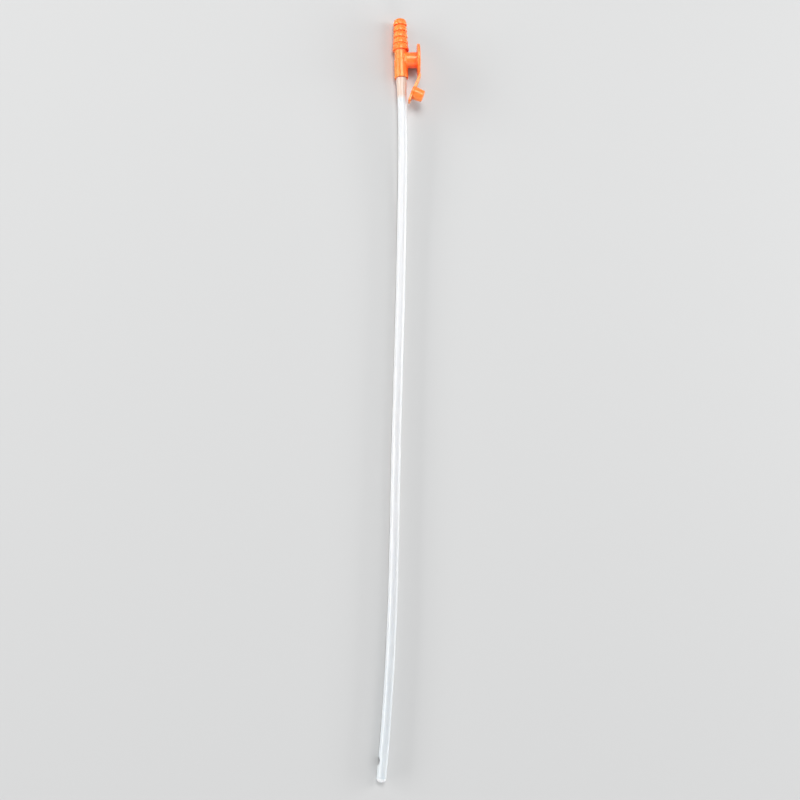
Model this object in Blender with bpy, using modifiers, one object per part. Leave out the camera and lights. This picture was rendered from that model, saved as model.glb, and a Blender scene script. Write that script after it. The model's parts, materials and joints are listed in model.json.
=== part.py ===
# Suction catheter, size CH/FR 16: a soft open-ended tube with one side eye, pushed into the socket
# of an orange moulded connector. The connector has a barbed hose end, a side port with a round
# thumb flange, and a cap on a strap that grows out of the flange's rim.
# It lies on its widest barb ring, its flange's rim and its tube. +Y runs to the barbed end, +Z up,
# and the port points to +X and somewhat upwards.
# All sizes are in metres.
import math

import bmesh
import bpy
from mathutils import Matrix, Vector

# Tube
tube_outer_radius = 0.00265
tube_wall = 0.00075
tube_free_length = 0.400
tube_insert_depth = 0.0075
flare_outer_radius = 0.00315
flare_length = 0.0137
tip_rounding = 0.0016
tip_opening_radius = 0.0013
tip_rim = 0.00045

# Route of the free tube on the floor: how far along it is and how far it has drifted to -X,
# both as shares of the free length
route_drift = [
    (0.000, 0.0), (0.037, 0.0), (0.075, 0.0), (0.115, 0.0006), (0.175, 0.0021), (0.262, 0.0053),
    (0.350, 0.0097), (0.437, 0.0148), (0.525, 0.0199), (0.612, 0.0243), (0.700, 0.0287),
    (0.787, 0.0341), (0.862, 0.0402), (0.930, 0.0471), (1.000, 0.0558),
]
straight_exit = 0.0150
touchdown = 0.1350

# Side eye near the tip, on the side away from the port
eye_from_tip = 0.0111
eye_length = 0.0048
eye_height = 0.0037

# Connector body
fit_gap = 0.0003
spigot_gap = 0.00022
socket_wall = 0.0006
socket_floor = 0.0012
socket_shoulder = 0.0024
socket_chamfer = 0.00035
mouth_rounding = 0.0002
neck_radius = 0.0037
neck_length = 0.0057
barb_rings = 5
barb_pitch = 0.00384
barb_tip_radius = 0.0040
barb_base_radius = 0.0048
barb_growth = 1.8
barb_undercut = 0.0006
barb_lip = 0.00045
nose_rounding = 0.0007
hose_bore_radius = 0.0024
spigot_bore_radius = 0.0012
hose_lead_in = 0.0002

# Side port and thumb flange
port_rise = 0.0002
port_wall = 0.00065
port_bore_radius = 0.00395
port_depth = 0.0068
port_floor_step = 0.00025
port_lead_in = 0.0004
port_shoulder = 0.0034
port_hole_radius = 0.0021
port_fillet = 0.0005
flange_thickness = 0.0015
flange_radius = 0.0094
flange_rounding = 0.00035

# Cap, strap and plug; at rest the strap hangs back towards the tube
hinge_below_port = 0.0105
cap_rest_angle = math.radians(23.5)
cap_seat_gap = 0.0003
cap_disc_radius = 0.0041
cap_disc_thickness = 0.0014
cap_rounding = 0.0003
strap_width = 0.0060
strap_thickness = 0.0012
tab_reach = 0.0066
strap_root_gap = 0.0008
plug_length = 0.0055
plug_gap = 0.0003
plug_swing_gap = 0.000105
plug_tip_rounding = 0.0009

# Facets
turned_sides = 32
tube_sides = 20
eye_sides = 20
tube_step = 0.0085

# Places that follow from the sizes
lumen_radius = tube_outer_radius - tube_wall
socket_bore_radius = flare_outer_radius + fit_gap
socket_radius = socket_bore_radius + socket_wall
socket_depth = tube_insert_depth + fit_gap
spigot_root = socket_depth + socket_floor
socket_length = spigot_root + socket_shoulder
barb_start = socket_length + neck_length
barb_length = barb_rings * barb_pitch
connector_length = barb_start + barb_length
port_height = spigot_root + port_hole_radius + port_rise
port_outer_radius = port_bore_radius + port_wall
port_bore_floor = socket_radius + port_floor_step
flange_face = port_bore_floor + port_depth
hinge_x = flange_face + cap_seat_gap
hinge_y = port_height - hinge_below_port
strap_root = hinge_below_port - flange_radius - strap_root_gap
overshoot = 0.0010

# It lies with its widest ring and its flange's rim on the floor, which lifts the port by an angle
axis_height = max(barb_base_radius, socket_radius)
rim_reach = flange_face - flange_thickness + flange_rounding
rim_drop = flange_radius - flange_rounding
port_lift = (math.atan2(rim_drop, rim_reach)
             - math.asin((axis_height - flange_rounding) / math.hypot(rim_reach, rim_drop)))

# The plug swings in on an arc about the fold, so its tip is narrow enough to pass the port's far wall
plug_root_radius = port_bore_radius - plug_gap
swing_reach = hinge_below_port + port_bore_radius - plug_swing_gap - plug_tip_rounding
tip_reach = math.sqrt(swing_reach ** 2 - (plug_length - plug_tip_rounding) ** 2)
plug_tip_radius = tip_reach - hinge_below_port + plug_tip_rounding


# Scene helpers

def clear_scene():
    for item in list(bpy.data.objects):
        bpy.data.objects.remove(item, do_unlink=True)


def new_collection(name):
    collection = bpy.data.collections.new(name)
    bpy.context.scene.collection.children.link(collection)
    return collection


def new_empty(name, collection, parent=None):
    empty = bpy.data.objects.new(name, None)
    empty.empty_display_size = flange_radius
    collection.objects.link(empty)
    empty.parent = parent
    return empty


def new_material(name, colour, roughness):
    material = bpy.data.materials.new(name)
    material.use_nodes = True
    shader = material.node_tree.nodes["Principled BSDF"]
    shader.inputs["Base Color"].default_value = (*colour, 1.0)
    shader.inputs["Roughness"].default_value = roughness
    shader.inputs["Metallic"].default_value = 0.0
    return material


def hide_guide(guide):
    guide.display_type = 'WIRE'
    guide.hide_render = True


def turned(name, profile, collection, parent, axis='Z', sides=turned_sides):
    """Turn an open profile of (radius, height) pairs, listed from top to bottom, about an axis."""
    mesh = bpy.data.meshes.new(name)
    points = [(radius, 0.0, height) for radius, height in profile]
    mesh.from_pydata(points, [(i, i + 1) for i in range(len(points) - 1)], [])
    piece = bpy.data.objects.new(name, mesh)
    collection.objects.link(piece)
    piece.parent = parent
    if axis == 'X':
        piece.rotation_euler = (0.0, math.pi / 2, 0.0)
    screw = piece.modifiers.new("Turn", 'SCREW')
    screw.axis = 'Z'
    screw.angle = 2 * math.pi
    screw.steps = sides
    screw.render_steps = sides
    screw.use_merge_vertices = True
    screw.merge_threshold = 0.000001
    screw.use_smooth_shade = False
    return piece


def arc(centre, radius, start, end, steps):
    """Points of an arc of (radius, height) pairs; angles in degrees from the outward direction."""
    points = []
    for i in range(steps + 1):
        angle = math.radians(start + (end - start) * i / steps)
        points.append((centre[0] + radius * math.cos(angle), centre[1] + radius * math.sin(angle)))
    return points


def combine(piece, other, operation):
    boolean = piece.modifiers.new(other.name, 'BOOLEAN')
    boolean.object = other
    boolean.operation = operation
    boolean.solver = 'EXACT'
    hide_guide(other)


def shade_round(piece, angle=35.0):
    """Apply the modifiers of a piece and shade its round faces smooth."""
    depsgraph = bpy.context.evaluated_depsgraph_get()
    mesh = bpy.data.meshes.new_from_object(piece.evaluated_get(depsgraph))
    piece.modifiers.clear()
    piece.data = mesh
    mesh.shade_smooth()
    mesh.set_sharp_from_angle(angle=math.radians(angle))


# Connector

def ring_radius(index):
    """Widest radius of a barb ring, counted from the hose end."""
    share = (index / (barb_rings - 1)) ** barb_growth
    return barb_tip_radius + (barb_base_radius - barb_tip_radius) * share


def body_profile():
    """Outer side of the barb, the neck and the socket, from the hose end down to the mouth."""
    points = [(0.0, connector_length)]
    centre = (ring_radius(0) - barb_undercut / 2 - nose_rounding, connector_length - nose_rounding)
    points += arc(centre, nose_rounding, 90, 20, 3)
    for index in range(barb_rings):
        low = connector_length - (index + 1) * barb_pitch
        wide = ring_radius(index)
        if index:
            points.append((wide - barb_undercut, low + barb_pitch))
        points.append((wide, low + barb_lip))
        points.append((wide, low + barb_lip / 3))
        points.append((wide - barb_lip / 3, low))
    points.append((neck_radius, barb_start))
    points.append((neck_radius, socket_length + socket_chamfer))
    points.append((socket_radius, socket_length))
    points.append((socket_radius, mouth_rounding))
    points.append((socket_radius - mouth_rounding, 0.0))
    points.append((0.0, 0.0))
    return points


def spigot_radius(distance):
    """Radius of the spigot at a distance beyond the socket's mouth; it follows the tube's flare."""
    return tube_radius(distance) - tube_wall - spigot_gap


def port_profile():
    """Outer side of the port and its flange, from the front face back into the body."""
    rim = flange_radius - flange_rounding
    back = flange_face - flange_thickness
    points = [(0.0, flange_face)]
    points += arc((rim, flange_face - flange_rounding), flange_rounding, 90, 0, 3)
    points += arc((rim, back + flange_rounding), flange_rounding, 0, -90, 3)
    points += arc((port_outer_radius + port_fillet, back - port_fillet), port_fillet, 90, 180, 3)
    points += arc((port_outer_radius - port_shoulder / 2, port_shoulder), port_shoulder / 2, 0, -90, 4)
    points.append((port_outer_radius - port_shoulder / 2, 0.0))
    points.append((0.0, 0.0))
    return points


def make_connector(parts, cutters, lying, material):
    """One moulding: a turned body and a turned port, then the bores cut through both."""
    axis = new_empty("connector_axis", parts, lying)
    axis.rotation_euler = (-math.pi / 2, 0.0, 0.0)
    port_axis = new_empty("port_axis", parts, axis)
    port_axis.location = (0.0, 0.0, port_height)

    body = turned("connector", body_profile(), parts, axis)
    body.data.materials.append(material)
    port = turned("port_form", port_profile(), cutters, port_axis, axis='X')

    socket = turned("socket_bore", [
        (0.0, socket_depth),
        (socket_bore_radius, socket_depth),
        (socket_bore_radius, -overshoot),
        (0.0, -overshoot),
    ], cutters, axis)
    spigot = turned("spigot_form", [
        (0.0, spigot_root),
        (spigot_radius(-spigot_root), spigot_root),
        (spigot_radius(0.0), 0.0),
        (spigot_radius(flare_length / 2), -flare_length / 2),
        (spigot_radius(flare_length), -flare_length),
        (0.0, -flare_length),
    ], cutters, axis)
    hose_bore = turned("hose_bore", [
        (0.0, connector_length + overshoot),
        (hose_bore_radius + hose_lead_in + overshoot, connector_length + overshoot),
        (hose_bore_radius, connector_length - hose_lead_in),
        (hose_bore_radius, spigot_root + hose_bore_radius - spigot_bore_radius),
        (spigot_bore_radius, spigot_root),
        (spigot_bore_radius, -flare_length - overshoot),
        (0.0, -flare_length - overshoot),
    ], cutters, axis)
    port_bore = turned("port_bore", [
        (0.0, flange_face + overshoot),
        (port_bore_radius + port_lead_in + overshoot, flange_face + overshoot),
        (port_bore_radius, flange_face - port_lead_in),
        (port_bore_radius, port_bore_floor),
        (port_hole_radius, port_bore_floor),
        (port_hole_radius, 0.0),
        (0.0, 0.0),
    ], cutters, port_axis, axis='X')

    combine(body, port, 'UNION')
    combine(body, socket, 'DIFFERENCE')
    combine(body, spigot, 'UNION')
    combine(body, hose_bore, 'DIFFERENCE')
    combine(body, port_bore, 'DIFFERENCE')
    return body


# Tube

def smooth_drift(share):
    """Drift at a share of the free length, both as shares: a smooth curve through the route."""
    count = len(route_drift)
    if share <= 0.0:
        return 0.0
    index = max(i for i in range(count - 1) if route_drift[i][0] <= share)
    before = route_drift[max(index - 1, 0)]
    start = route_drift[index]
    end = route_drift[index + 1]
    after = route_drift[min(index + 2, count - 1)]
    span = end[0] - start[0]
    start_slope = (end[1] - before[1]) / (end[0] - before[0])
    end_slope = (after[1] - start[1]) / (after[0] - start[0])
    t = min((share - start[0]) / span, 1.0)
    return ((2 * t ** 3 - 3 * t ** 2 + 1) * start[1] + (t ** 3 - 2 * t ** 2 + t) * span * start_slope
            + (3 * t ** 2 - 2 * t ** 3) * end[1] + (t ** 3 - t ** 2) * span * end_slope)


def tube_height(distance):
    """Height of the tube's centre: level with the connector, then sagging down to the floor."""
    rise = axis_height - tube_outer_radius
    t = min(max((touchdown - distance) / (touchdown - straight_exit), 0.0), 1.0)
    return tube_outer_radius + rise * (4 * t ** 3 - 3 * t ** 4)


def tube_radius(distance):
    """Outer radius at a distance from the mouth: wide in the socket, then tapering off the spigot."""
    t = min(max(distance / flare_length, 0.0), 1.0)
    return flare_outer_radius + (tube_outer_radius - flare_outer_radius) * t


def tube_point(distance, reach):
    side = -smooth_drift(distance / tube_free_length) * tube_free_length
    return Vector((side, -reach, tube_height(distance) - axis_height))


def tube_stations():
    """Distances from the mouth at which the tube gets a ring of points."""
    stations = [-tube_insert_depth, -tube_insert_depth / 2]
    flare_steps = 6
    stations += [flare_length * i / flare_steps for i in range(flare_steps + 1)]
    plain = tube_free_length - tip_rounding - flare_length
    steps = math.ceil(plain / tube_step)
    stations += [flare_length + plain * i / steps for i in range(1, steps + 1)]
    return stations


def tube_centreline(stations):
    """Points at true distances along the tube, so that the tube keeps its own length."""
    points = []
    reach = 0.0
    last = 0.0
    for distance in stations:
        if distance <= 0.0:
            points.append(Vector((0.0, -distance, 0.0)))
            continue
        here = tube_point(distance, 0.0)
        there = tube_point(last, 0.0)
        step = distance - last
        reach += math.sqrt(step ** 2 - (here.x - there.x) ** 2 - (here.z - there.z) ** 2)
        points.append(tube_point(distance, reach))
        last = distance
    return points


def swept(name, points, radii, collection, parent):
    """A round bar of changing radius along a line of points, made a mesh."""
    curve = bpy.data.curves.new(name, 'CURVE')
    curve.dimensions = '3D'
    curve.bevel_depth = tube_outer_radius
    curve.bevel_resolution = tube_sides // 2 - 2
    curve.use_fill_caps = True
    curve.twist_mode = 'Z_UP'
    spline = curve.splines.new('POLY')
    spline.points.add(len(points) - 1)
    for target, point, radius in zip(spline.points, points, radii):
        target.co = (*point, 1.0)
        target.radius = radius / tube_outer_radius
    bar = bpy.data.objects.new(name, curve)
    collection.objects.link(bar)
    depsgraph = bpy.context.evaluated_depsgraph_get()
    mesh = bpy.data.meshes.new_from_object(bar.evaluated_get(depsgraph))
    bpy.data.objects.remove(bar, do_unlink=True)
    weld_caps(mesh)
    piece = bpy.data.objects.new(name, mesh)
    collection.objects.link(piece)
    piece.parent = parent
    return piece


def weld_caps(mesh):
    shape = bmesh.new()
    shape.from_mesh(mesh)
    bmesh.ops.remove_doubles(shape, verts=shape.verts, dist=0.000001)
    bmesh.ops.recalc_face_normals(shape, faces=shape.faces)
    shape.to_mesh(mesh)
    shape.free()


def make_tube(parts, cutters, root, material):
    stations = tube_stations()
    points = tube_centreline(stations)
    radii = [tube_radius(distance) for distance in stations]
    forward = (points[-1] - points[-2]).normalized()
    shoulder = points[-1].copy()

    # The tip is drawn in to a rounded rim, and the lumen narrows with it
    end_radius = tip_opening_radius + tip_rim
    tip_steps = 5
    turns = [math.radians(90 * i / tip_steps) for i in range(1, tip_steps + 1)]
    tip_points = [shoulder + forward * tip_rounding * math.sin(turn) for turn in turns]
    outer_tip = [end_radius + (tube_outer_radius - end_radius) * math.cos(turn) for turn in turns]
    lumen_tip = [tip_opening_radius + (lumen_radius - tip_opening_radius) * math.cos(turn)
                 for turn in turns]
    tube = swept("catheter_tube", points + tip_points, radii + outer_tip, parts, root)
    tube.data.materials.append(material)

    behind = Vector((0.0, tube_insert_depth + overshoot, 0.0))
    beyond = shoulder + forward * (tip_rounding + overshoot)
    lumen_points = [behind] + points + tip_points + [beyond]
    lumen_radii = [radius - tube_wall for radius in radii[:1] + radii]
    lumen_radii += lumen_tip + [tip_opening_radius]
    lumen = swept("lumen", lumen_points, lumen_radii, cutters, root)
    combine(tube, lumen, 'DIFFERENCE')

    # The eye is punched square to the tube, through one wall into the lumen
    distance = eye_from_tip - tip_rounding
    steps_back = [(points[i] - shoulder).length for i in range(len(points))]
    index = max(i for i in range(len(points)) if steps_back[i] >= distance)
    along = (points[index + 1] - points[index]).normalized()
    centre = shoulder - forward * distance
    chord = points[index] + along * (centre - points[index]).dot(along)
    across = along.cross(Vector((-math.cos(port_lift), 0.0, -math.sin(port_lift)))).normalized()
    outward = across.cross(along)
    inner_end = lumen_radius / 2
    outer_end = tube_outer_radius + overshoot
    bpy.ops.mesh.primitive_cylinder_add(vertices=eye_sides, radius=eye_length / 2,
                                        depth=outer_end - inner_end)
    eye = bpy.context.object
    eye.name = "eye_punch"
    for collection in list(eye.users_collection):
        collection.objects.unlink(eye)
    cutters.objects.link(eye)
    eye.data.transform(Matrix.Diagonal((eye_height / eye_length, 1.0, 1.0, 1.0)))
    eye.parent = root
    turn = Matrix((across, along, outward)).transposed()
    eye.rotation_euler = turn.to_euler()
    eye.location = chord + outward * (inner_end + outer_end) / 2
    combine(tube, eye, 'DIFFERENCE')
    return tube


# Cap

def cap_profile():
    """Outer side of the plug and the disc, from the plug's tip back to the disc's outer face."""
    points = [(0.0, plug_length)]
    points += arc((plug_tip_radius - plug_tip_rounding, plug_length - plug_tip_rounding),
                  plug_tip_rounding, 90, 0, 4)
    points.append((plug_root_radius, 0.0))
    points += arc((cap_disc_radius - cap_rounding, -cap_rounding), cap_rounding, 90, 0, 2)
    points += arc((cap_disc_radius - cap_rounding, -cap_disc_thickness + cap_rounding),
                  cap_rounding, 0, -90, 2)
    points.append((0.0, -cap_disc_thickness))
    return points


def make_cap(parts, cutters, lying, material):
    """Disc, plug and strap in one; the strap runs on past the disc as a short tab to lift it by."""
    fold = new_empty("cap_fold", parts, lying)
    fold.location = (hinge_x, hinge_y, 0.0)
    fold.rotation_euler = (0.0, 0.0, -cap_rest_angle)
    disc_centre = new_empty("disc_centre", parts, fold)
    disc_centre.location = (0.0, -hinge_below_port, 0.0)

    cap = turned("port_cap", cap_profile(), parts, disc_centre, axis='X')
    cap.data.materials.append(material)

    strap_length = hinge_below_port + tab_reach + strap_root
    bpy.ops.mesh.primitive_cube_add(size=1.0)
    strap = bpy.context.object
    strap.name = "strap_form"
    for collection in list(strap.users_collection):
        collection.objects.unlink(strap)
    cutters.objects.link(strap)
    strap.data.transform(Matrix.Diagonal((strap_thickness, strap_length, strap_width, 1.0)))
    strap.parent = fold
    strap.location = (-cap_disc_thickness / 2, strap_root - strap_length / 2, 0.0)
    bevel = strap.modifiers.new("Edges", 'BEVEL')
    bevel.width = cap_rounding
    bevel.segments = 2
    combine(cap, strap, 'UNION')
    return cap


def stand_on_floor(root, pieces):
    """Put the origin under the middle of the box that holds the whole object."""
    bpy.context.view_layer.update()
    corners = [piece.matrix_world @ vertex.co for piece in pieces for vertex in piece.data.vertices]
    low = [min(corner[i] for corner in corners) for i in range(3)]
    high = [max(corner[i] for corner in corners) for i in range(3)]
    root.location = (-(low[0] + high[0]) / 2, -(low[1] + high[1]) / 2, -low[2])
    bpy.context.view_layer.update()


def main():
    clear_scene()
    parts = new_collection("suction_catheter")
    cutters = new_collection("cutters")
    root = new_empty("catheter_root", parts)
    lying = new_empty("lying_roll", parts, root)
    lying.rotation_euler = (0.0, -port_lift, 0.0)

    orange_plastic = new_material("orange_plastic", (1.0, 0.24, 0.055), 0.38)
    clear_pvc = new_material("clear_pvc", (0.90, 0.89, 0.88), 0.30)

    connector = make_connector(parts, cutters, lying, orange_plastic)
    tube = make_tube(parts, cutters, root, clear_pvc)
    cap = make_cap(parts, cutters, lying, orange_plastic)
    bpy.context.view_layer.update()
    pieces = [connector, tube, cap]
    for piece in pieces:
        shade_round(piece)
    stand_on_floor(root, pieces)


main()
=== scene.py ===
import json
import math

import bpy
from mathutils import Matrix, Vector


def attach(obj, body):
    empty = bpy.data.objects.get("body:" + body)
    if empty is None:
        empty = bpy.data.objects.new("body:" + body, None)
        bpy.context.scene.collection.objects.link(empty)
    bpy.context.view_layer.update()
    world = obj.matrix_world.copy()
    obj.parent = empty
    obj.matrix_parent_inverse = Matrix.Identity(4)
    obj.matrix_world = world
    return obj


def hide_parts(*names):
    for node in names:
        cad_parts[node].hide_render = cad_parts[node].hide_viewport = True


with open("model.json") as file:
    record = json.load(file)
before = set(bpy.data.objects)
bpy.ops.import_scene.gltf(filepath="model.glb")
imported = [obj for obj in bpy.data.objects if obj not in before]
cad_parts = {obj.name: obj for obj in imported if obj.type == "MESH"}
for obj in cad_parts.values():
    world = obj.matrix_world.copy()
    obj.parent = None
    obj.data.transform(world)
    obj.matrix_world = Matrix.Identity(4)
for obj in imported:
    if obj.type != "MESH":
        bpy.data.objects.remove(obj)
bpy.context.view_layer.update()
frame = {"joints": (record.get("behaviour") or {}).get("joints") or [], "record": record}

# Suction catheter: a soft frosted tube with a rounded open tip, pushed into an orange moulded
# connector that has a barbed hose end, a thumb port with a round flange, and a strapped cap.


# The lie of the object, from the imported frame

record = frame["record"]
mounts = {mount["name"]: mount for mount in record["mounts"]}
foldJoint = frame["joints"][0]
portWay = Vector(mounts["flange_front"]["axis"])
portLift = math.atan2(portWay.z, portWay.x)
barbEnd = Vector(mounts["barb_end"]["pos_m"])
foldPoint = Vector(foldJoint["pos_m"])

layout = {
    "connectorLength": 0.0363,      # mouth of the socket to the end of the barb
    "barbMountOffset": 0.00285,     # the barb's mount point lies this far above its axis
    "capRestTurn": 23.5,            # degrees that the strap leans back at rest
    "hingeAcross": 0.0114,          # the fold, out from the connector's axis
    "hingeAlong": 0.0008,           # the fold, up from the mouth
    "strapThickness": 0.00135,
    "strapWidth": 0.0060,
    "strapSet": -0.00072,           # the strap's middle, across from the fold
    "foldCut": 15.0,                # degrees of the slanted cut between tongue and strap
    "foldGap": 0.00002,
    "strapEdge": 0.00012,           # rounding of the strap's long edges
    "smoothAngle": 38,              # edges sharper than this many degrees stay crisp
    "lipRise": 0.00002,             # how far a bore's lip reaches past the face it opens in
}
mouth = Vector((barbEnd.x, barbEnd.y - layout["connectorLength"], barbEnd.z - layout["barbMountOffset"]))

# Connector pieces are modelled upright, mouth at the origin, then laid down by this
layDown = (Matrix.Translation(mouth) @ Matrix.Rotation(-portLift, 4, 'Y')
           @ Matrix.Rotation(math.radians(-90), 4, 'X'))
# The cap is modelled about its fold
layCap = (Matrix.Translation(foldPoint) @ Matrix.Rotation(-portLift, 4, 'Y')
          @ Matrix.Rotation(math.radians(-layout["capRestTurn"]), 4, 'Z'))


# Modelling helpers

def deselectAll():
    bpy.ops.object.select_all(action='DESELECT')


def workOn(piece):
    deselectAll()
    piece.select_set(True)
    bpy.context.view_layer.objects.active = piece


def selectPoints(piece, isWanted):
    # picks points in object mode, so that edit mode starts with just them
    mesh = piece.data
    for face in mesh.polygons:
        face.select = False
    for edge in mesh.edges:
        edge.select = False
    for point in mesh.vertices:
        point.select = isWanted(point.co)


def selectEdges(piece, isWanted):
    selectPoints(piece, lambda co: False)
    mesh = piece.data
    for edge in mesh.edges:
        edge.select = isWanted(*[mesh.vertices[index].co for index in edge.vertices])


def arcOf(centre, radius, start, end, steps):
    # (radius, height) pairs round an arc, degrees from the outward direction
    turns = [math.radians(start + (end - start) * i / steps) for i in range(steps + 1)]
    return [(centre[0] + radius * math.cos(turn), centre[1] + radius * math.sin(turn)) for turn in turns]


def steady(radius, low, high, spacing):
    # rings of one radius between two heights, ends left out
    count = max(2, round(abs(high - low) / spacing))
    return [(radius, low + (high - low) * i / count) for i in range(1, count)]


def ease(share):
    share = min(max(share, 0.0), 1.0)
    return share * share * (3 - 2 * share)


def ringForm(name, rings, sides, closeEnds=True):
    # a circle pulled along +Z ring by ring, as one extrudes and scales by hand
    deselectAll()
    radius, height = rings[0]
    bpy.ops.mesh.primitive_circle_add(vertices=sides, radius=radius, fill_type='NOTHING')
    piece = bpy.context.object
    piece.name = name
    piece.data.transform(Matrix.Translation((0.0, 0.0, height)))
    bpy.ops.object.mode_set(mode='EDIT')
    bpy.ops.mesh.select_all(action='SELECT')
    if closeEnds:
        bpy.ops.mesh.edge_face_add()
    for nextRadius, nextHeight in rings[1:]:
        move = {"value": (0.0, 0.0, nextHeight - height)}
        bpy.ops.mesh.extrude_region_move(TRANSFORM_OT_translate=move)
        scale = nextRadius / radius
        if abs(scale - 1.0) > 1e-7:
            bpy.ops.transform.resize(value=(scale, scale, 1.0), center_override=(0.0, 0.0, nextHeight))
        radius, height = nextRadius, nextHeight
    bpy.ops.mesh.select_all(action='SELECT')
    bpy.ops.mesh.normals_make_consistent(inside=False)
    bpy.ops.object.mode_set(mode='OBJECT')
    return piece


def shapeWith(piece, tool, operation):
    workOn(piece)
    form = piece.modifiers.new("form", 'BOOLEAN')
    form.operation = operation
    form.solver = 'EXACT'
    form.object = tool
    bpy.ops.object.modifier_apply(modifier=form.name)
    bpy.data.objects.remove(tool, do_unlink=True)


def weld(piece, distance):
    workOn(piece)
    bpy.ops.object.mode_set(mode='EDIT')
    bpy.ops.mesh.select_all(action='SELECT')
    bpy.ops.mesh.remove_doubles(threshold=distance)
    bpy.ops.object.mode_set(mode='OBJECT')


def soften(piece, isWanted, rounds):
    workOn(piece)
    selectPoints(piece, isWanted)
    bpy.ops.object.mode_set(mode='EDIT')
    bpy.ops.mesh.vertices_smooth(factor=0.5, repeat=rounds)
    bpy.ops.object.mode_set(mode='OBJECT')


def moveEdge(piece, isWanted, target):
    # slides the chosen edge of a block so that its middle has the target's first two coordinates
    workOn(piece)
    selectPoints(piece, isWanted)
    chosen = [point.co for point in piece.data.vertices if point.select]
    middle = sum(chosen, Vector()) / len(chosen)
    bpy.ops.object.mode_set(mode='EDIT')
    bpy.ops.transform.translate(value=(target[0] - middle.x, target[1] - middle.y, 0.0))
    bpy.ops.object.mode_set(mode='OBJECT')


def roundEdges(piece, width, segments=3):
    workOn(piece)
    edges = piece.modifiers.new("edges", 'BEVEL')
    edges.width = width
    edges.segments = segments
    edges.limit_method = 'NONE'
    bpy.ops.object.modifier_apply(modifier=edges.name)


def finishForm(piece, angle):
    workOn(piece)
    bpy.ops.object.shade_smooth_by_angle(angle=math.radians(angle))


# Shader helper

class Wire:
    # one shader socket; Python's operators add Math nodes to it

    def __init__(self, tree, socket=None):
        self.tree = tree
        self.socket = socket

    def add(self, kind, settings=None, values=None, output=0):
        node = self.tree.nodes.new(kind)
        for name, value in (settings or {}).items():
            setattr(node, name, value)
        for key, value in (values or {}).items():
            if isinstance(value, Wire):
                self.tree.links.new(value.socket, node.inputs[key])
            else:
                node.inputs[key].default_value = value
        return Wire(self.tree, node.outputs[output])

    def maths(self, operation, first, second):
        return self.add('ShaderNodeMath', {"operation": operation}, {0: first, 1: second})

    def __add__(self, other):
        return self.maths('ADD', self, other)

    __radd__ = __add__

    def __mul__(self, other):
        return self.maths('MULTIPLY', self, other)

    __rmul__ = __mul__

    def __sub__(self, other):
        return self.maths('SUBTRACT', self, other)

    def __rsub__(self, other):
        return self.maths('SUBTRACT', other, self)

    def feeds(self, shader, socketName):
        self.tree.links.new(self.socket, shader.inputs[socketName])

    def between(self, low, high):
        # 0 below low, 1 above high, smooth between
        settings = {"interpolation_type": 'SMOOTHSTEP'}
        return self.add('ShaderNodeMapRange', settings, {"Value": self, "From Min": low, "From Max": high})

    def blendColours(self, first, second):
        settings = {"data_type": 'RGBA', "blend_type": 'MIX'}
        return self.add('ShaderNodeMix', settings, {"Factor": self, 6: first, 7: second}, output=2)


def newMaterial(name):
    material = bpy.data.materials.new(name)
    material.use_nodes = True
    surface = material.node_tree.nodes["Principled BSDF"]
    return material, surface, Wire(material.node_tree)


def setConstants(surface, constants):
    for socketName, value in constants.items():
        surface.inputs[socketName].default_value = value


def dress(piece, material):
    piece.data.materials.clear()
    piece.data.materials.append(material)


# Connector

connectorForm = {
    "sides": 96,
    "ringSpacing": 0.00030,
    "socketRadius": 0.00405,
    "socketLength": 0.0114,
    "socketDepth": 0.0078,
    "socketBore": 0.00317,
    "mouthRounding": 0.00025,
    "shoulderDrop": 0.0006,
    "neckRadius": 0.0037,
    "neckFillet": 0.0002,
    "barbStart": 0.0171,
    "barbPitch": 0.00384,
    "barbRings": 5,
    "barbTipRadius": 0.0040,
    "barbBaseRadius": 0.0048,
    "barbGrowth": 1.8,
    "barbUndercut": 0.00075,
    "barbSteps": 9,              # rings along each barb's side
    "barbSlope": 0.15,           # share of the undercut that falls evenly, the rest curves in
    "barbCurve": 2.2,
    "barbLip": 0.00038,
    "noseRounding": 0.0011,
    "noseUndercut": 0.00045,
    "hoseBore": 0.0024,
    "hoseLeadIn": 0.0003,
    "spigotBore": 0.0012,
    "spigotRoot": 0.0090,
    "spigotGap": 0.00003,
    "spigotSteps": 6,
    "overshoot": 0.0010,         # how far boring tools reach past the plastic
    "weld": 0.00005,
}

portForm = {
    "height": 0.0113,
    "outerRadius": 0.0046,
    "shoulder": 0.0034,
    "bore": 0.00395,
    "boreFloor": 0.0043,
    "boreRounding": 0.00035,
    "holeRadius": 0.0021,
    "flangeFace": 0.0111,
    "flangeThickness": 0.0015,
    "flangeRadius": 0.0094,
    "flangeRounding": 0.0004,
    "flangeFillet": 0.0006,
    "blendWidth": 0.0008,
    "blendRounds": 14,
    "tongueTop": 0.0027,            # where the strap's tongue leaves the flange, up from the mouth
    "tongueBack": 0.00985,
    "tongueFront": 0.01106,
}


def ringRadius(index):
    share = (index / (connectorForm["barbRings"] - 1)) ** connectorForm["barbGrowth"]
    narrow, wide = connectorForm["barbTipRadius"], connectorForm["barbBaseRadius"]
    return narrow + (wide - narrow) * share


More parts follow.
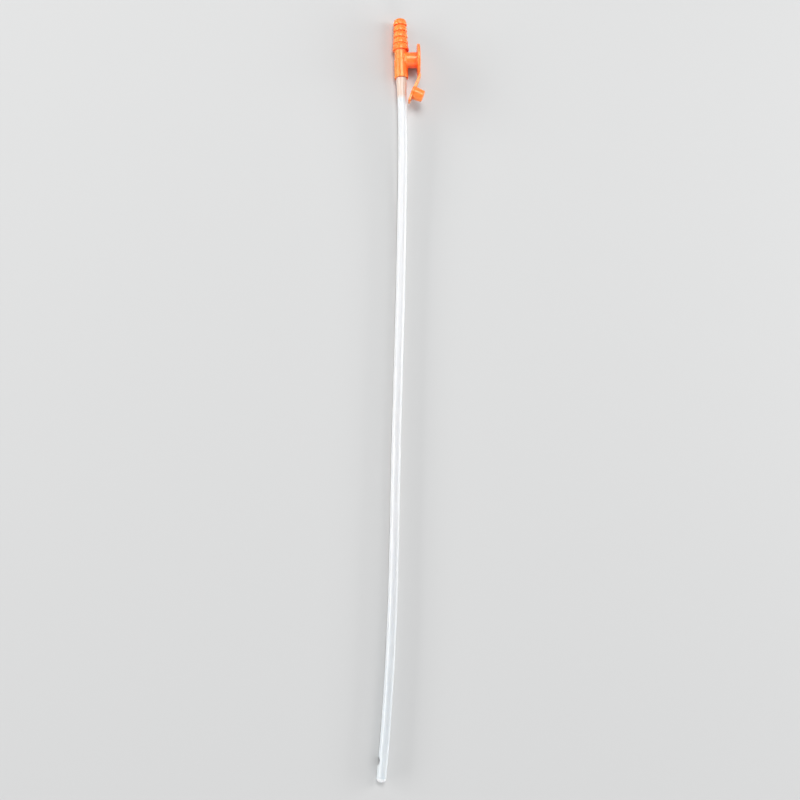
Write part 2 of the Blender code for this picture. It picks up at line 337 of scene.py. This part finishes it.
def bodyOutline():
    f = connectorForm
    rounding = f["mouthRounding"]
    outline = [(f["socketRadius"] - rounding, 0.0)]
    outline += arcOf((f["socketRadius"] - rounding, rounding), rounding, -60, 0, 3)
    shoulderLow = f["socketLength"] - f["shoulderDrop"]
    outline += steady(f["socketRadius"], f["mouthRounding"], shoulderLow, f["ringSpacing"] * 1.5)
    for i in range(7):
        radius = f["socketRadius"] + (f["neckRadius"] - f["socketRadius"]) * ease(i / 6)
        outline.append((radius, shoulderLow + f["shoulderDrop"] * i / 6))
    neckTop = f["barbStart"] - f["neckFillet"]
    outline += steady(f["neckRadius"], f["socketLength"], neckTop, f["ringSpacing"] * 1.5)
    outline += arcOf((f["neckRadius"] + f["neckFillet"], neckTop), f["neckFillet"], 180, 110, 3)
    for index in reversed(range(f["barbRings"])):
        low = f["barbStart"] + (f["barbRings"] - 1 - index) * f["barbPitch"]
        wide = ringRadius(index)
        outline += arcOf((wide - f["barbLip"], low + f["barbLip"]), f["barbLip"], -80, 0, 5)
        top = low + f["barbPitch"]
        nose = f["noseRounding"] if index == 0 else 0.0
        for i in range(1, f["barbSteps"] + 1):
            share = i / f["barbSteps"]
            height = low + f["barbLip"] + (top - nose - low - f["barbLip"]) * share
            depth = f["barbUndercut"] if index else f["noseUndercut"]
            drop = depth * (f["barbSlope"] * share + (1 - f["barbSlope"]) * share ** f["barbCurve"])
            outline.append((wide - drop, height))
    last = outline[-1]
    outline += arcOf((last[0] - f["noseRounding"], last[1]), f["noseRounding"], 12, 90, 7)
    return outline


def spigotRadius(distance):
    return tubeRadius(distance) - tubeForm["wall"] - connectorForm["spigotGap"]


def portOutline():
    p = portForm
    inner = p["outerRadius"] - p["shoulder"] / 2
    back = p["flangeFace"] - p["flangeThickness"]
    rim = p["flangeRadius"] - p["flangeRounding"]
    fillet = p["flangeFillet"]
    spacing = connectorForm["ringSpacing"]
    outline = [(inner, 0.0)] + steady(inner, 0.0, p["shoulder"] / 2, spacing)
    outline += arcOf((inner, p["shoulder"]), p["shoulder"] / 2, -90, 0, 9)
    outline += steady(p["outerRadius"], p["shoulder"], back - fillet, spacing)
    outline += arcOf((p["outerRadius"] + fillet, back - fillet), fillet, 180, 90, 6)
    outline += [(p["outerRadius"] + fillet + (rim - p["outerRadius"] - fillet) / 2, back)]
    outline += arcOf((rim, back + p["flangeRounding"]), p["flangeRounding"], -90, 0, 5)
    outline += arcOf((rim, p["flangeFace"] - p["flangeRounding"]), p["flangeRounding"], 0, 90, 5)
    return outline


def turnToPort(piece):
    # a form pulled along +Z is turned so that it runs out along +X at the port's height
    piece.data.transform(Matrix.Translation((0.0, 0.0, portForm["height"]))
                         @ Matrix.Rotation(math.pi / 2, 4, 'Y'))


def blockOf(name, low, high, width):
    # a block between two corners, as wide as the strap, centred on the plane of the port
    deselectAll()
    bpy.ops.mesh.primitive_cube_add(size=1.0)
    block = bpy.context.object
    block.name = name
    block.data.transform(Matrix.Translation(((low[0] + high[0]) / 2, (low[1] + high[1]) / 2, 0.0))
                         @ Matrix.Diagonal((high[0] - low[0], high[1] - low[1], width, 1.0)))
    return block


def strapCut(gap):
    # front and back ends of the cut between tongue and strap, as seen from the fold
    half = layout["strapThickness"] / 2
    faces = [layout["strapSet"] + half, layout["strapSet"] - half]
    return [(across, -across * math.tan(math.radians(layout["foldCut"])) + gap) for across in faces]


def leanBack(place):
    # from the leaning strap's own directions to the connector's
    turn = math.radians(layout["capRestTurn"])
    return (layout["hingeAcross"] + place[0] * math.cos(turn) + place[1] * math.sin(turn),
            layout["hingeAlong"] - place[0] * math.sin(turn) + place[1] * math.cos(turn))


def makeConnector():
    f, p = connectorForm, portForm
    body = ringForm("mouldedConnector", bodyOutline(), f["sides"])
    port = ringForm("portForm", portOutline(), f["sides"])
    turnToPort(port)
    shapeWith(body, port, 'UNION')

    # the port flows into the body with a moulded fillet
    weld(body, f["weld"])
    inner = p["outerRadius"] - p["shoulder"] / 2

    def isCrease(co):
        bodyRadius = f["socketRadius"] if co.z < f["socketLength"] else f["neckRadius"]
        bodyGap = abs(math.hypot(co.x, co.y) - bodyRadius)
        around = math.hypot(co.y, co.z - p["height"])
        if co.x > p["shoulder"]:
            portGap = abs(around - p["outerRadius"])
        else:
            portGap = abs(math.hypot(max(around - inner, 0.0), co.x - p["shoulder"]) - p["shoulder"] / 2)
        return co.x > 0.0 and bodyGap < p["blendWidth"] and portGap < p["blendWidth"]

    soften(body, isCrease, p["blendRounds"])

    # the tongue that carries the strap: it leaves the flange's rim and ends on the slanted cut
    tongue = blockOf("foldTongue", (p["tongueBack"], 0.0), (p["tongueFront"], p["tongueTop"]),
                     layout["strapWidth"])
    middle = (p["tongueBack"] + p["tongueFront"]) / 2
    front, back = strapCut(layout["foldGap"])
    moveEdge(tongue, lambda co: co.y < p["tongueTop"] / 2 and co.x > middle, leanBack(front))
    moveEdge(tongue, lambda co: co.y < p["tongueTop"] / 2 and co.x < middle, leanBack(back))
    roundEdges(tongue, layout["strapEdge"])
    tongue.data.transform(Matrix.Rotation(math.pi / 2, 4, 'X'))
    shapeWith(body, tongue, 'UNION')

    # socket, spigot, hose bore and port bore, each with rounded lips
    lip = f["mouthRounding"]
    socketRings = [(f["socketBore"] + lip + f["overshoot"], -f["overshoot"])]
    for turn in (90, 60, 30, 0):
        angle = math.radians(turn)
        socketRings.append((f["socketBore"] + lip * (1 - math.cos(angle)), lip * (1 - math.sin(angle))))
    socketRings.append((f["socketBore"], f["socketDepth"]))
    socket = ringForm("socketTool", socketRings, f["sides"])
    shapeWith(body, socket, 'DIFFERENCE')
    spigotReach = [tubeForm["flareLength"] * (1 - i / f["spigotSteps"]) for i in range(f["spigotSteps"] + 1)]
    spigotRings = [(spigotRadius(distance), -distance) for distance in spigotReach]
    spigot = ringForm("spigotForm", spigotRings + [(spigotRadius(0.0), f["spigotRoot"])], f["sides"])
    shapeWith(body, spigot, 'UNION')
    hose = ringForm("hoseTool", [
        (f["spigotBore"], -tubeForm["flareLength"] - f["overshoot"]),
        (f["spigotBore"], f["spigotRoot"]),
        (f["hoseBore"], f["spigotRoot"] + f["hoseBore"] - f["spigotBore"]),
        (f["hoseBore"], layout["connectorLength"] - f["hoseLeadIn"]),
        (f["hoseBore"] + f["hoseLeadIn"] * 0.3, layout["connectorLength"] - f["hoseLeadIn"] * 0.4),
        (f["hoseBore"] + f["hoseLeadIn"], layout["connectorLength"] + layout["lipRise"]),
        (f["hoseBore"] + f["hoseLeadIn"], layout["connectorLength"] + f["overshoot"]),
    ], f["sides"])
    shapeWith(body, hose, 'DIFFERENCE')
    lip = p["boreRounding"]
    portTool = ringForm("portTool", [
        (p["holeRadius"], 0.0),
        (p["holeRadius"], p["boreFloor"]),
        (p["bore"], p["boreFloor"]),
        (p["bore"], p["flangeFace"] - lip),
        (p["bore"] + lip * 0.14, p["flangeFace"] - lip * 0.5),
        (p["bore"] + lip * 0.5, p["flangeFace"] - lip * 0.14),
        (p["bore"] + lip, p["flangeFace"] + layout["lipRise"]),
        (p["bore"] + lip, p["flangeFace"] + f["overshoot"]),
    ], f["sides"])
    turnToPort(portTool)
    shapeWith(body, portTool, 'DIFFERENCE')
    finishForm(body, layout["smoothAngle"])
    body.data.transform(layDown)
    return body


# Cap

capForm = {
    "sides": 96,
    "discAcross": 0.0105,        # the disc's centre, down the strap from the fold
    "discRadius": 0.0041,
    "discBack": 0.00152,
    "rounding": 0.0003,
    "rootFillet": 0.0002,
    "tabReach": 0.0066,
    "tabRounding": 0.0011,
    "plugLength": 0.0058,
    "plugRoot": 0.00382,
    "plugTip": 0.0034,
    "plugRounding": 0.0007,
}


def makeCap():
    c = capForm
    rim = c["discRadius"] - c["rounding"]
    outline = arcOf((rim, -c["discBack"] + c["rounding"]), c["rounding"], -85, 0, 4)
    outline += arcOf((rim, -c["rounding"]), c["rounding"], 0, 85, 4)
    outline += arcOf((c["plugRoot"] + c["rootFillet"], c["rootFillet"]), c["rootFillet"], 260, 185, 3)
    tipLow = c["plugLength"] - c["plugRounding"]
    outline += [(c["plugRoot"] + (c["plugTip"] - c["plugRoot"]) * i / 8,
                 c["rootFillet"] + (tipLow - c["rootFillet"]) * i / 8) for i in range(1, 8)]
    outline += arcOf((c["plugTip"] - c["plugRounding"], tipLow), c["plugRounding"], 0, 88, 9)
    cap = ringForm("capPiece", outline, c["sides"])
    cap.data.transform(Matrix.Translation((0.0, -c["discAcross"], 0.0))
                       @ Matrix.Rotation(math.pi / 2, 4, 'Y'))

    # the strap runs from the slanted cut past the disc, and its end is the tab to lift it by
    low = (layout["strapSet"] - layout["strapThickness"] / 2, -c["discAcross"] - c["tabReach"])
    high = (layout["strapSet"] + layout["strapThickness"] / 2, 0.0)
    strap = blockOf("strapForm", low, high, layout["strapWidth"])
    front, back = strapCut(-layout["foldGap"])
    moveEdge(strap, lambda co: co.y > low[1] / 2 and co.x > layout["strapSet"], front)
    moveEdge(strap, lambda co: co.y > low[1] / 2 and co.x < layout["strapSet"], back)
    roundTab(strap, low[1])
    roundEdges(strap, layout["strapEdge"])
    shapeWith(cap, strap, 'UNION')
    finishForm(cap, layout["smoothAngle"])
    cap.data.transform(layCap)
    return cap


def roundTab(strap, end):
    # the tab's two corners are rounded in the plane of the strap
    workOn(strap)

    def isCorner(first, second):
        atEnd = abs(first.y - end) < 1e-6 and abs(second.y - end) < 1e-6
        return atEnd and abs(first.z - second.z) < 1e-6

    selectEdges(strap, isCorner)
    bpy.ops.object.mode_set(mode='EDIT')
    bpy.ops.mesh.select_mode(type='EDGE')
    bpy.ops.mesh.bevel(offset=capForm["tabRounding"], segments=6)
    bpy.ops.mesh.select_mode(type='VERT')
    bpy.ops.object.mode_set(mode='OBJECT')


# Tube

tubeForm = {
    "sides": 64,
    "outerRadius": 0.00265,
    "wall": 0.00075,
    "freeLength": 0.400,
    "insertDepth": 0.0075,
    "flareRadius": 0.00315,
    "flareLength": 0.0137,
    "straightExit": 0.0150,
    "touchdown": 0.1350,
    "ringSpacing": 0.0050,
    "routeStep": 0.001,
    "routeStride": 16,           # every so many route points are kept in the tube's path list
    "tipRounding": 0.0024,
    "tipEdge": 0.00140,
    "tipBulge": 0.00002,
    "tipBulgeLength": 0.0016,
    "tipOpening": 0.0013,
    # the rounded mouth of the tip: out from the opening, and back from the end
    "tipRim": ((0.00025, 0.0), (0.00010, 0.00005), (0.00002, 0.00015), (0.0, 0.00035)),
    "tipThroat": 0.0026,         # how far back the lumen starts to narrow
    "lumenStop": 0.0045,         # the plain lumen ends this far from the tip
    "eyeFromTip": 0.0107,
    "eyeLength": 0.0047,
    "eyeHeight": 0.0037,
    "eyeSpacing": 0.00028,
    "eyeSoftening": 0.00050,
    "eyeRounds": 4,
    "punchSides": 48,
    "weld": 0.00003,
    "smoothAngle": 40,
}

# How far along the free tube, and how far it has drifted to -X, both as shares of its free length
routeDrift = [
    (0.000, 0.0), (0.037, 0.0), (0.075, 0.0), (0.115, 0.0006), (0.175, 0.0021), (0.262, 0.0053),
    (0.350, 0.0097), (0.437, 0.0148), (0.525, 0.0199), (0.612, 0.0243), (0.700, 0.0287),
    (0.787, 0.0341), (0.862, 0.0402), (0.930, 0.0471), (1.000, 0.0558),
]


def tubeRadius(distance):
    share = min(max(distance / tubeForm["flareLength"], 0.0), 1.0)
    return tubeForm["flareRadius"] + (tubeForm["outerRadius"] - tubeForm["flareRadius"]) * share


def driftAt(share):
    count = len(routeDrift)
    if share <= 0.0:
        return 0.0
    index = max(i for i in range(count - 1) if routeDrift[i][0] <= share)
    before = routeDrift[max(index - 1, 0)]
    start = routeDrift[index]
    end = routeDrift[index + 1]
    after = routeDrift[min(index + 2, count - 1)]
    span = end[0] - start[0]
    startSlope = (end[1] - before[1]) / (end[0] - before[0])
    endSlope = (after[1] - start[1]) / (after[0] - start[0])
    t = min((share - start[0]) / span, 1.0)
    return ((2 * t ** 3 - 3 * t ** 2 + 1) * start[1] + (t ** 3 - 2 * t ** 2 + t) * span * startSlope
            + (3 * t ** 2 - 2 * t ** 3) * end[1] + (t ** 3 - t ** 2) * span * endSlope)


def heightAt(distance):
    # level with the socket, then sagging until it lies on the floor
    sag = tubeForm["touchdown"] - tubeForm["straightExit"]
    t = min(max((tubeForm["touchdown"] - distance) / sag, 0.0), 1.0)
    return tubeForm["outerRadius"] + (mouth.z - tubeForm["outerRadius"]) * (4 * t ** 3 - 3 * t ** 4)


def makeCentreline():
    # points at true distances along the tube, so that it keeps its length
    step = tubeForm["routeStep"]
    points = []
    reach = 0.0
    last = None
    for i in range(round(tubeForm["freeLength"] / step) + 1):
        distance = i * step
        side = -driftAt(distance / tubeForm["freeLength"]) * tubeForm["freeLength"]
        height = heightAt(distance)
        if last:
            reach += math.sqrt(step ** 2 - (side - last[0]) ** 2 - (height - last[1]) ** 2)
        last = (side, height)
        points.append(Vector((mouth.x + side, mouth.y - reach, height)))
    return points


def placeOn(centreline, distance):
    # the point and the direction of the tube at a distance from the mouth
    step = tubeForm["routeStep"]
    if distance <= 0.0:
        return centreline[0] + Vector((0.0, -distance, 0.0)), Vector((0.0, -1.0, 0.0))
    index = min(int(distance / step), len(centreline) - 2)
    part = distance / step - index
    here = centreline[index].lerp(centreline[index + 1], part)
    if part > 1.0:
        here = centreline[index] + (centreline[index + 1] - centreline[index]) * part
    before = centreline[max(index - 3, 0)]
    after = centreline[min(index + 4, len(centreline) - 1)]
    return here, (after - before).normalized()


def tubeRings():
    t = tubeForm
    shoulder = t["freeLength"] - t["tipRounding"]
    eyeMiddle = t["freeLength"] - t["eyeFromTip"]
    eyeLow, eyeHigh = eyeMiddle - t["eyeLength"], eyeMiddle + t["eyeLength"]
    stations = [-t["insertDepth"], -t["insertDepth"] / 2]
    stations += [t["flareLength"] * i / 8 for i in range(9)]
    plain = round((eyeLow - t["flareLength"]) / t["ringSpacing"])
    stations += [t["flareLength"] + (eyeLow - t["flareLength"]) * i / plain for i in range(1, plain + 1)]
    fine = round((eyeHigh - eyeLow) / t["eyeSpacing"])
    stations += [eyeLow + (eyeHigh - eyeLow) * i / fine for i in range(1, fine + 1)]
    outer = [(tubeRadius(s), s) for s in stations]
    swell = shoulder - t["tipBulgeLength"]
    outer += [(t["outerRadius"], eyeHigh + (swell - eyeHigh) * i / 3) for i in (1, 2, 3)]
    outer += [(t["outerRadius"] + t["tipBulge"] * ease(i / 4), swell + t["tipBulgeLength"] * i / 4)
              for i in (1, 2, 3)]
    wide = t["outerRadius"] + t["tipBulge"]
    outer += [(t["tipEdge"] + (wide - t["tipEdge"]) * math.cos(math.radians(turn)),
               shoulder + t["tipRounding"] * math.sin(math.radians(turn))) for turn in range(0, 91, 10)]
    end = t["freeLength"]
    rim = [(t["tipOpening"] + out, end - back) for out, back in t["tipRim"]]
    rimBack = rim[-1][1]
    lumen = t["outerRadius"] - t["wall"]
    throat = [(t["tipOpening"] + (lumen - t["tipOpening"]) * ease(i / 8), rimBack - t["tipThroat"] * i / 8)
              for i in range(1, 9)]
    inner = [(tubeRadius(s) - t["wall"], s) for s in reversed(stations) if s < end - t["lumenStop"]]
    return outer + rim + throat + inner


def makeTube(centreline):
    t = tubeForm
    tube = ringForm("softTube", tubeRings(), t["sides"], closeEnds=False)
    workOn(tube)
    bpy.ops.object.mode_set(mode='EDIT')
    bpy.ops.mesh.select_all(action='DESELECT')
    bpy.ops.mesh.select_non_manifold()
    bpy.ops.mesh.bridge_edge_loops()
    bpy.ops.mesh.select_all(action='SELECT')
    bpy.ops.mesh.normals_make_consistent(inside=False)
    bpy.ops.object.mode_set(mode='OBJECT')

    # the eye is punched through the -X wall and its edge softened, as heat leaves it
    eyeMiddle = t["freeLength"] - t["eyeFromTip"]
    deselectAll()
    depth = t["outerRadius"] * 1.6
    bpy.ops.mesh.primitive_cylinder_add(vertices=t["punchSides"], radius=0.5, depth=depth)
    punch = bpy.context.object
    punch.data.transform(Matrix.Translation((-t["outerRadius"] * 0.4 - depth / 2, 0.0, eyeMiddle))
                         @ Matrix.Rotation(math.pi / 2, 4, 'Y')
                         @ Matrix.Diagonal((t["eyeLength"], t["eyeHeight"], 1.0, 1.0)))
    shapeWith(tube, punch, 'DIFFERENCE')
    weld(tube, t["weld"])

    def isEyeEdge(co):
        across = math.hypot(co.y / (t["eyeHeight"] / 2), (co.z - eyeMiddle) / (t["eyeLength"] / 2))
        return co.x < -t["outerRadius"] * 0.15 and abs(across - 1.0) * t["eyeHeight"] / 2 < t["eyeSoftening"]

    soften(tube, isEyeEdge, t["eyeRounds"])
    finishForm(tube, t["smoothAngle"])

    # straight places are kept for the material, then the tube is bent along its route
    straight = tube.data.attributes.new("straightPlace", 'FLOAT_VECTOR', 'POINT')
    for point, place in zip(tube.data.vertices, straight.data):
        place.vector = point.co
    for point in tube.data.vertices:
        here, way = placeOn(centreline, point.co.z)
        side = (portWay - way * portWay.dot(way)).normalized()
        point.co = here + side * point.co.x + way.cross(side) * point.co.y
    return tube


# Materials

orangeLook = {
    "pale": (1.0, 0.258, 0.052, 1.0),
    "plain": (0.99, 0.228, 0.042, 1.0),
    "paintedShade": (1.0, 0.055, 0.006, 1.0),    # painted shade: a deeper red in grooves, recesses and between walls
    "paintedShadeReach": 0.007,
    "paintedShadeShare": 0.9,
    "paintedShadeBetween": (0.35, 0.95),
    "cloudScale": 260.0,
    "cloudBetween": (0.35, 0.65),
    "grainScale": 5200.0,
    "grainStrength": 0.12,
    "grainDepth": 0.00004,
    "roughness": 0.29,
    "roughnessSpread": 0.10,
    "constants": {
        "Subsurface Weight": 0.65,
        "Subsurface Radius": (1.0, 0.28, 0.10),
        "Subsurface Scale": 0.0024,
        "Specular IOR Level": 0.8,
        "Specular Tint": (1.0, 0.84, 0.55, 1.0),
    },
}

tubeLook = {
    "warm": (0.855, 0.84, 0.835, 1.0),
    "cool": (0.71, 0.765, 0.79, 1.0),
    "coolFrom": (0.22, 0.40),            # along the tube, where warm turns to cool
    "paintedShowThrough": (1.0, 0.57, 0.45, 1.0),      # painted show-through: the orange spigot, seen through the wall, painted on the tube
    "paintedShowThroughShare": 0.95,
    "paintedShowThroughEnd": (0.0100, 0.0138),
    # painted shade where the lumen ends inside the tip
    "lumenEnd": (0.60, 0.66, 0.68, 1.0),
    "lumenEndShare": 0.5,
    "lumenEndFrom": (0.3970, 0.3978),
    "rim": (0.95, 0.98, 0.99, 1.0),      # the tip's rim is solid plastic, and whiter
    "rimFrom": (0.3979, 0.3986),
    "streakScale": (900.0, 900.0, 12.0),
    "streakStrength": 0.10,
    "streakDepth": 0.00004,
    "roughness": 0.26,
    "roughnessSpread": 0.16,
    "constants": {
        "Subsurface Weight": 1.0,
        "Subsurface Radius": (1.0, 0.95, 0.9),
        "Subsurface Scale": 0.0030,
        "Transmission Weight": 0.12,
        "IOR": 1.53,
        "Sheen Weight": 1.0,
        "Sheen Roughness": 0.3,
        "Coat Weight": 0.15,
        "Coat Roughness": 0.2,
    },
}


def orangeMaterial():
    look = orangeLook
    material, surface, wire = newMaterial("orange_plastic")
    place = wire.add('ShaderNodeTexCoord', output="Object")
    cloud = wire.add('ShaderNodeTexNoise', {}, {"Vector": place, "Scale": look["cloudScale"], "Detail": 3.0})
    colour = cloud.between(*look["cloudBetween"]).blendColours(look["plain"], look["pale"])
    # painted shade: where ambient occlusion finds grooves and recesses, the orange turns a deeper red
    settings = {"samples": 12, "only_local": True}
    openness = wire.add('ShaderNodeAmbientOcclusion', settings, {"Distance": look["paintedShadeReach"]}, output=1)
    depth = 1 - openness.between(*look["paintedShadeBetween"])
    colour = (depth * look["paintedShadeShare"]).blendColours(colour, look["paintedShade"])
    colour.feeds(surface, "Base Color")
    roughness = cloud * look["roughnessSpread"] + look["roughness"]
    roughness.feeds(surface, "Roughness")
    grain = wire.add('ShaderNodeTexNoise', {}, {"Vector": place, "Scale": look["grainScale"], "Detail": 2.0})
    relief = {"Height": grain, "Strength": look["grainStrength"], "Distance": look["grainDepth"]}
    wire.add('ShaderNodeBump', {}, relief).feeds(surface, "Normal")
    setConstants(surface, look["constants"])
    return material


def tubeMaterial():
    look = tubeLook
    material, surface, wire = newMaterial("clear_pvc")
    straight = wire.add('ShaderNodeAttribute', {"attribute_name": "straightPlace"}, output="Vector")
    along = wire.add('ShaderNodeSeparateXYZ', {}, {0: straight}, output="Z")
    colour = along.between(*look["coolFrom"]).blendColours(look["warm"], look["cool"])
    # painted show-through: the spigot's orange painted on the tube where it sits over the spigot
    paintedShowThrough = 1 - along.between(*look["paintedShowThroughEnd"])
    colour = (paintedShowThrough * look["paintedShowThroughShare"]).blendColours(colour, look["paintedShowThrough"])
    # near the tip, painted shade marks where the lumen ends, then the rim
    shade = along.between(*look["lumenEndFrom"]) * look["lumenEndShare"]
    colour = shade.blendColours(colour, look["lumenEnd"])
    colour = along.between(*look["rimFrom"]).blendColours(colour, look["rim"])
    colour.feeds(surface, "Base Color")
    stretched = wire.add('ShaderNodeMapping', {}, {"Vector": straight, "Scale": look["streakScale"]})
    streak = wire.add('ShaderNodeTexNoise', {}, {"Vector": stretched, "Scale": 1.0, "Detail": 3.0})
    roughness = streak * look["roughnessSpread"] + look["roughness"]
    roughness.feeds(surface, "Roughness")
    relief = {"Height": streak, "Strength": look["streakStrength"], "Distance": look["streakDepth"]}
    wire.add('ShaderNodeBump', {}, relief).feeds(surface, "Normal")
    setConstants(surface, look["constants"])
    return material


# Studio

studio = {
    "cameraFromMouth": (-0.03167, -0.26951, 0.62663),
    "cameraTurns": (('Y', -2.376), ('X', 7.125), ('Z', -1.45)),
    "lens": 50.0,
    "floorSize": 8.0,
    "floorColour": (0.55, 0.55, 0.545, 1.0),
    "floorRoughness": 0.75,
    "floorGrainScale": 900.0,
    "floorGrainStrength": 0.05,
    "floorGrainDepth": 0.0001,
    "skyColour": (0.92, 0.95, 1.0, 1.0),
    "skyStrength": 0.28,
}

lamps = [
    # name, place, aim, width, depth, power
    ("keyLamp", (-0.45, 0.85, 1.60), (0.0, 0.0, 0.0), 0.8, 0.8, 22.0),
    ("sideLamp", (1.50, 0.50, 1.00), (0.0, 0.0, 0.0), 0.8, 1.6, 14.0),
    ("lowLeftLamp", (-1.60, 0.10, 0.35), (0.0, 0.0, 0.0), 1.6, 0.3, 22.0),
    ("lowRightLamp", (1.60, -0.10, 0.35), (0.0, 0.0, 0.0), 1.6, 0.3, 13.0),
    ("footLamp", (0.30, -1.50, 0.60), (0.0, 0.1, 0.0), 0.9, 0.5, 7.0),
]


def makeStudio():
    deselectAll()
    bpy.ops.mesh.primitive_plane_add(size=studio["floorSize"])
    floor = bpy.context.object
    floor.name = "floor"
    material, surface, wire = newMaterial("pale_floor")
    place = wire.add('ShaderNodeTexCoord', output="Object")
    fine = {"Vector": place, "Scale": studio["floorGrainScale"], "Detail": 2.0}
    grain = wire.add('ShaderNodeTexNoise', {}, fine)
    surface.inputs["Base Color"].default_value = studio["floorColour"]
    surface.inputs["Roughness"].default_value = studio["floorRoughness"]
    relief = {"Height": grain, "Strength": studio["floorGrainStrength"],
              "Distance": studio["floorGrainDepth"]}
    wire.add('ShaderNodeBump', {}, relief).feeds(surface, "Normal")
    dress(floor, material)

    world = bpy.data.worlds.new("studio")
    world.use_nodes = True
    sky = world.node_tree.nodes["Background"]
    sky.inputs["Color"].default_value = studio["skyColour"]
    sky.inputs["Strength"].default_value = studio["skyStrength"]
    bpy.context.scene.world = world
    bpy.context.scene.view_settings.view_transform = 'Standard'

    for name, place, aim, width, depth, power in lamps:
        light = bpy.data.lights.new(name, 'AREA')
        light.shape = 'RECTANGLE'
        light.size = width
        light.size_y = depth
        light.energy = power
        lamp = bpy.data.objects.new(name, light)
        bpy.context.scene.collection.objects.link(lamp)
        lamp.location = place
        lamp.rotation_euler = (Vector(aim) - Vector(place)).to_track_quat('-Z', 'Y').to_euler()

    lens = bpy.data.cameras.new("photoCamera")
    lens.lens = studio["lens"]
    lens.clip_start = 0.01
    camera = bpy.data.objects.new("photoCamera", lens)
    bpy.context.scene.collection.objects.link(camera)
    # the camera looks square at the side of the port, so it leans with the port's lift
    look = Matrix.Translation(mouth) @ Matrix.Rotation(-portLift, 4, 'Y')
    look = look @ Matrix.Translation(studio["cameraFromMouth"])
    for axis, turn in studio["cameraTurns"]:
        look = look @ Matrix.Rotation(math.radians(turn), 4, axis)
    camera.matrix_world = look
    bpy.context.scene.camera = camera


# Making

makeStudio()
print("studio ready")

centreline = makeCentreline()
tube = makeTube(centreline)
dress(tube, tubeMaterial())
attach(tube, "catheter")
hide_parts("catheter_tube")
tubePath = [mouth + Vector((0.0, tubeForm["insertDepth"], 0.0))]
tubePath += [point for index, point in enumerate(centreline) if index % tubeForm["routeStride"] == 0]
print("tube ready", len(tube.data.polygons))

orange = orangeMaterial()
connector = makeConnector()
dress(connector, orange)
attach(connector, "catheter")
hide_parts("connector")
print("connector ready", len(connector.data.polygons))

cap = makeCap()
dress(cap, orange)
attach(cap, "cap")
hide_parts("port_cap")
print("cap ready", len(cap.data.polygons))
